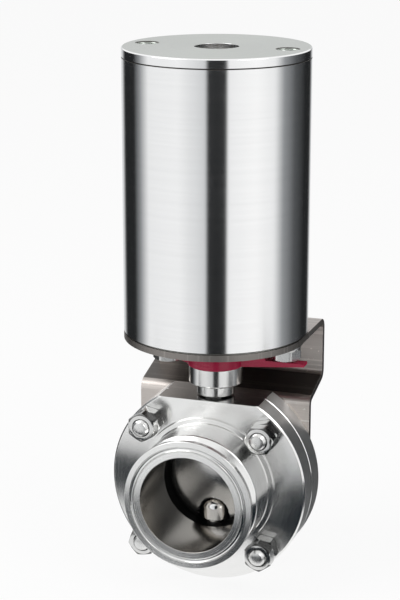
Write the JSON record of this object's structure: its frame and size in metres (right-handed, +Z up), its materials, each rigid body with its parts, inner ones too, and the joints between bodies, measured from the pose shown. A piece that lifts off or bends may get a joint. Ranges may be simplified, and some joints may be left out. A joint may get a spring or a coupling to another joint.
{
  "type": "pneumatic butterfly valve",
  "caption": "Stainless butterfly valve with clamp ferrules, a bent sheet bracket and a single-acting pneumatic actuator with a red position pointer.",
  "frame": {"origin": "centre of the inlet ferrule's face, on the pipe axis", "axes": "+Y along the pipe from inlet to outlet, +Z up along the stem and actuator, +X towards the pointer's arm at rest"},
  "size_m": [0.099, 0.089, 0.262],
  "materials": {
    "body_steel": "turned, satin",
    "polished_steel": "polished stainless",
    "tube_steel": "polished tube with a fine lengthwise grain",
    "cap_steel": "satin, fine turned",
    "sheet_steel": "brushed sheet",
    "fastener_steel": "bright, machined",
    "shaft_steel": "bright, turned",
    "spring_steel": "drawn wire",
    "piston_aluminium": "turned",
    "bearing_bronze": "turned bronze",
    "sintered_bronze": "sintered, grainy",
    "seat_rubber": "moulded, satin",
    "seal_rubber": "moulded",
    "white_bush": "machined, white",
    "pointer_red": "moulded, glossy crimson"
  },
  "bodies": {
    "valve_body": {"front_body": "body_steel", "rear_body": "body_steel", "seat_ring": "seat_rubber", "upper_stem_bush": "white_bush", "lower_stem_bush": "white_bush", "upper_flange_bolts": "fastener_steel", "lower_flange_bolts": "fastener_steel", "flange_nuts": "fastener_steel", "lock_nuts": "fastener_steel", "bracket": "sheet_steel", "bracket_bolts": "fastener_steel", "plain_washers": "fastener_steel", "lock_washers": "fastener_steel", "bottom_cap": "cap_steel", "cylinder_tube": "tube_steel", "breather_plug": "sintered_bronze", "top_cap": "cap_steel", "bottom_cap_ring": "seal_rubber", "top_cap_ring": "seal_rubber", "guide_rods": "polished_steel", "tie_screws": "fastener_steel", "shaft_wiper": "seal_rubber", "lower_shaft_bush": "bearing_bronze", "thrust_washer": "bearing_bronze", "upper_shaft_seal": "seal_rubber", "upper_shaft_bush": "bearing_bronze"},
    "drive_train": {"output_shaft": "shaft_steel", "shaft_plug": "shaft_steel", "coupling": "shaft_steel", "coupling_screw": "fastener_steel", "pointer": "pointer_red", "pointer_screw": "fastener_steel", "valve_disc": "polished_steel"},
    "piston_group": {"piston": "piston_aluminium", "piston_seal": "seal_rubber", "piston_wear_ring": "white_bush", "piston_inner_seal": "seal_rubber", "guide_bushes": "bearing_bronze", "cross_pin": "shaft_steel", "cam_rollers": "shaft_steel", "pin_retainer": "spring_steel", "return_spring": "spring_steel"}
  },
  "joints": [
    {"name": "piston_travel", "type": "slide", "parent": "valve_body", "child": "piston_group", "axis": [0, 0, -1], "range_m": [0, 0.03], "stiffness_N_per_m": 8050, "springref_m": -0.035, "deforming": ["return_spring"]},
    {"name": "stem_turn", "type": "hinge", "parent": "valve_body", "child": "drive_train", "pos_m": [0, 0.043, 0], "axis": [0, 0, -1], "range_deg": [0, 90]}
  ],
  "couplings": [
    {"joint": "stem_turn", "follows": "piston_travel", "rad_per_m": 52.36}
  ]
}
